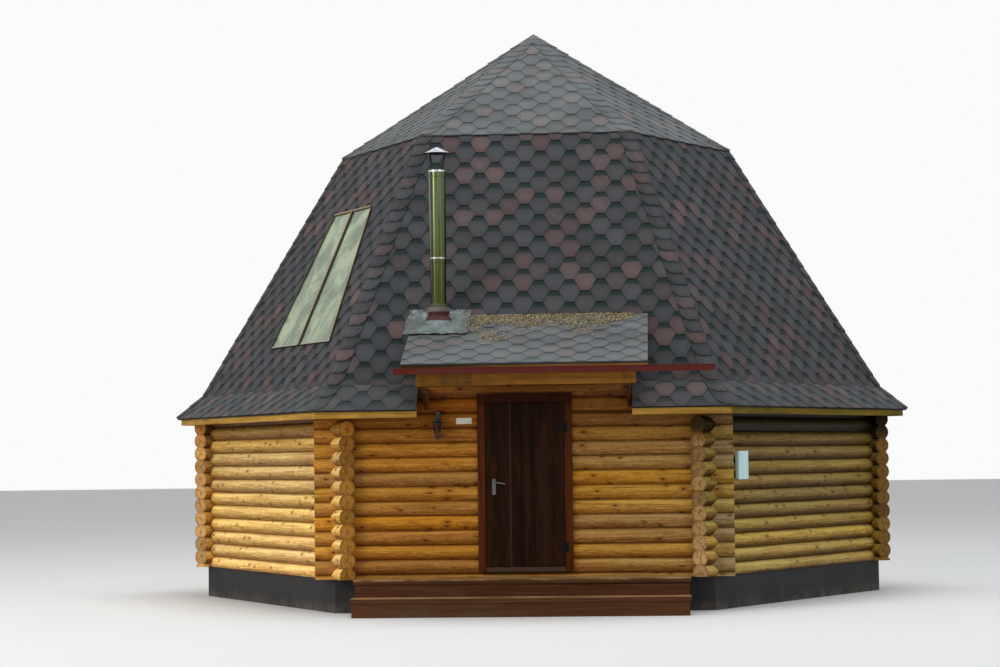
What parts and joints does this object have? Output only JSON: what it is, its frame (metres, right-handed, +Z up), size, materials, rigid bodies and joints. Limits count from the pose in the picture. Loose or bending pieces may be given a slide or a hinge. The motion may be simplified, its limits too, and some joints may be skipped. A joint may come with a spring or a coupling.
{
  "type": "hexagonal log cabin",
  "caption": "Hexagonal cabin of crossed round logs with a two-pitch shingled roof, shed canopy and gutter over a plank door, timber steps, steel chimney and roof window.",
  "frame": {"origin": "centre of the hexagonal plan at ground level, on the underside of the plinth", "axes": "+Z up, -Y out through the front door, +X to the right when facing the front from outside"},
  "size_m": [9.8378, 9.4763, 7.5247],
  "materials": {
    "log": "satin",
    "plinth": "matte",
    "floor": "matte",
    "trim": "satin",
    "door": "satin",
    "deck": "satin",
    "pale_board": "matte",
    "shingle": "rough",
    "red_gutter": "gloss",
    "steel": "satin",
    "black_metal": "satin",
    "foil": "satin",
    "window_bar": "satin",
    "glass": "gloss",
    "pale_panel": "matte",
    "meter_case": "satin"
  },
  "bodies": {
    "cabin": {"plinth": "plinth", "floor": "floor", "front_bottom_log": "log", "front_wall_left": "log", "front_wall_right": "log", "front_wall_over_door": "log", "right_front_wall": "log", "right_back_wall": "log", "back_wall": "log", "left_back_wall": "log", "left_front_wall": "log", "door_frame": "trim", "door_trim": "trim", "door_hinges_fixed": "black_metal", "upper_deck": "deck", "deck_frame": "deck", "lower_step": "deck", "eave_fascia": "pale_board", "eave_brackets": "pale_board", "skirt_roof": "shingle", "steep_roof_front": "shingle", "steep_roof_left_front": "shingle", "steep_roof_others": "shingle", "upper_roof": "shingle", "canopy_roof": "shingle", "canopy_frame": "pale_board", "gutter": "red_gutter", "chimney_pipe": "steel", "chimney_cap": "black_metal", "chimney_flashing": "foil", "skylight_frame": "window_bar", "skylight_glass": "glass", "lantern": "black_metal", "plaque": "pale_panel", "meter_box": "meter_case"},
    "door": {"door_leaf": "door", "door_hinges_moving": "black_metal", "handle_plates": "steel"},
    "handle": {"handle_levers": "steel"}
  },
  "joints": [
    {"name": "door_hinge", "type": "hinge", "parent": "cabin", "child": "door", "pos_m": [0.498, -3.96483, 1.5], "axis": [0, 0, 1], "range_deg": [0, 110]},
    {"name": "handle_turn", "type": "hinge", "parent": "door", "child": "handle", "pos_m": [-0.34, -3.9, 1.5358], "axis": [0, 1, 0], "range_deg": [0, 40], "stiffness_Nm_per_rad": 2, "springref_deg": -17.19}
  ]
}
